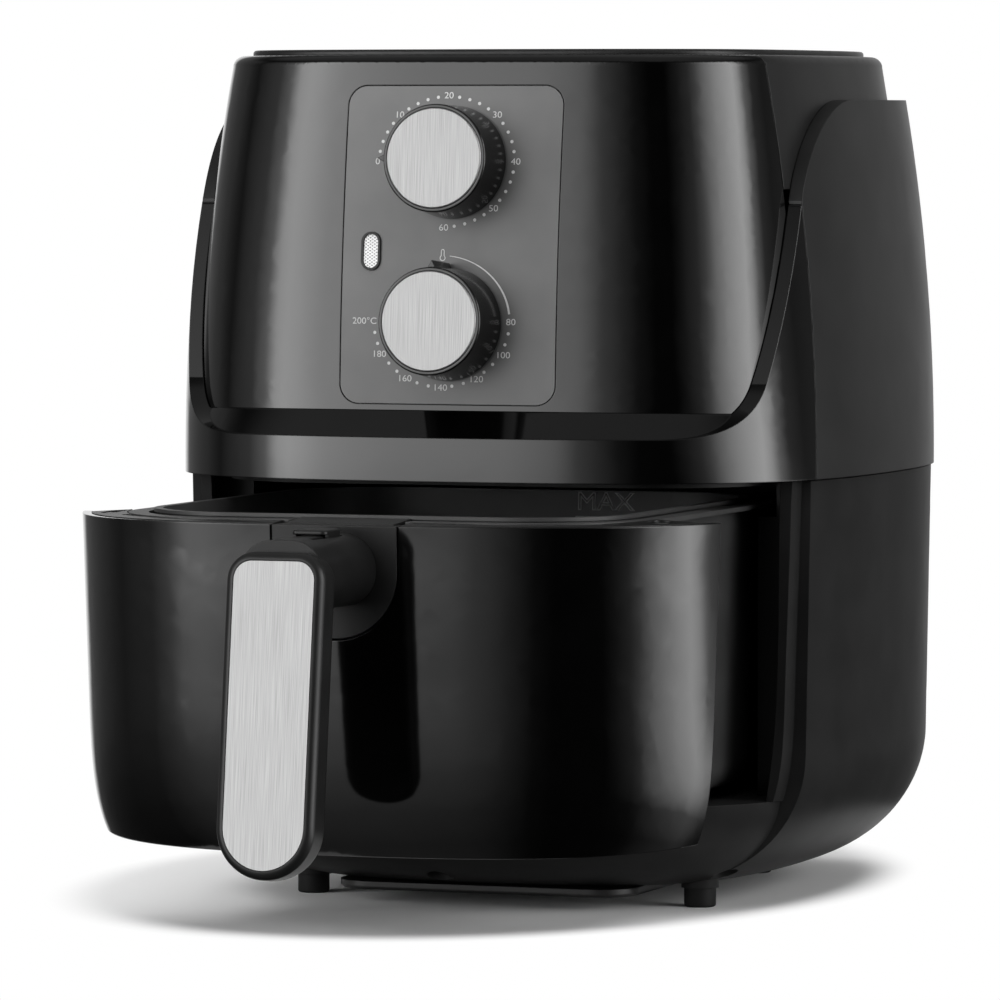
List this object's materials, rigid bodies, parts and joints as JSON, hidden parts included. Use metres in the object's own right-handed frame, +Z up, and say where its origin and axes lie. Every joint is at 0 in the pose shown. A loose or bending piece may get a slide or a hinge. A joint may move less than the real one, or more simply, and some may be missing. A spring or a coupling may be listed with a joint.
{
  "type": "air fryer",
  "caption": "Countertop air fryer with a rounded-square body, twin dial control panel and a front drawer, shown part open, holding a lift-out basket with a handle.",
  "frame": {"origin": "on the floor, under the middle of the housing's plan", "axes": "+X to the viewer's right, +Y towards the back, +Z up; the drawer opens towards -Y"},
  "size_m": [0.2564, 0.4395, 0.309],
  "materials": {
    "gloss_black": "high gloss",
    "satin_black": "satin",
    "inlay_grey": "fine satin",
    "silver_plate": "vertical brushing",
    "pan_coating": "matt non-stick coating",
    "sheet_steel": "plain sheet",
    "rubber": "matt",
    "lens": "clear, textured",
    "heater": "oxidised tube",
    "fan_alloy": "pressed",
    "unit_plastic": "moulded",
    "screw_steel": "zinc plated"
  },
  "bodies": {
    "housing": {"lower_housing": "gloss_black", "base_plate": "satin_black", "feet": "rubber", "base_screws": "screw_steel", "cord_gland": "rubber", "rear_shell": "satin_black", "vent_grille": "satin_black", "front_collar": "gloss_black", "front_panel": "gloss_black", "control_panel": "inlay_grey", "top_cover": "satin_black", "indicator_bezel": "inlay_grey", "indicator_lens": "lens", "indicator_lamp": "lens", "drawer_frame": "satin_black", "chamber_liner": "sheet_steel", "heater_hood": "sheet_steel", "heating_element": "heater", "element_clips": "sheet_steel", "element_guard": "sheet_steel", "motor_bracket": "sheet_steel", "motor": "sheet_steel", "timer_unit": "unit_plastic", "thermostat_unit": "unit_plastic", "drawer_switch": "unit_plastic"},
    "fan": {"motor_shaft": "screw_steel", "hot_air_fan": "fan_alloy", "cooling_fan": "fan_alloy"},
    "drawer": {"drawer_front": "gloss_black", "drawer_trim": "satin_black", "drawer_screws": "screw_steel", "pan": "pan_coating"},
    "basket": {"basket": "pan_coating", "basket_floor": "pan_coating", "basket_pads": "rubber", "handle_bracket": "satin_black", "handle_screws": "screw_steel", "handle": "satin_black", "handle_plate": "silver_plate"},
    "release_button": {"release_button": "satin_black"},
    "button_guard": {"button_guard": "satin_black"},
    "timer_knob": {"timer_knob": "satin_black", "timer_cap": "silver_plate", "timer_shaft": "screw_steel"},
    "temperature_knob": {"temperature_knob": "satin_black", "temperature_cap": "silver_plate", "thermostat_shaft": "screw_steel"}
  },
  "joints": [
    {"name": "drawer_slide", "type": "slide", "parent": "housing", "child": "drawer", "axis": [0, -1, 0], "range_m": [-0.0995, 0.13]},
    {"name": "basket_lift", "type": "slide", "parent": "drawer", "child": "basket", "axis": [0, 0, 1], "range_m": [0, 0.0045]},
    {"name": "release_press", "type": "slide", "parent": "basket", "child": "release_button", "axis": [0, 0, -1], "range_m": [0, 0.003], "stiffness_N_per_m": 400, "springref_m": -0.002},
    {"name": "guard_slide", "type": "slide", "parent": "basket", "child": "button_guard", "axis": [0, -1, 0], "range_m": [0, 0.012]},
    {"name": "timer_turn", "type": "hinge", "parent": "housing", "child": "timer_knob", "pos_m": [0.0008, -0.12042, 0.2686], "axis": [0, 0.9962, -0.0872], "range_deg": [0, 270]},
    {"name": "temperature_turn", "type": "hinge", "parent": "housing", "child": "temperature_knob", "pos_m": [0.0008, -0.12555, 0.211], "axis": [0, 0.9962, -0.0872], "range_deg": [0, 270]},
    {"name": "fan_spin", "type": "hinge", "parent": "housing", "child": "fan", "pos_m": [0, -0.017, 0.2], "axis": [0, 0, 1], "continuous": true}
  ]
}
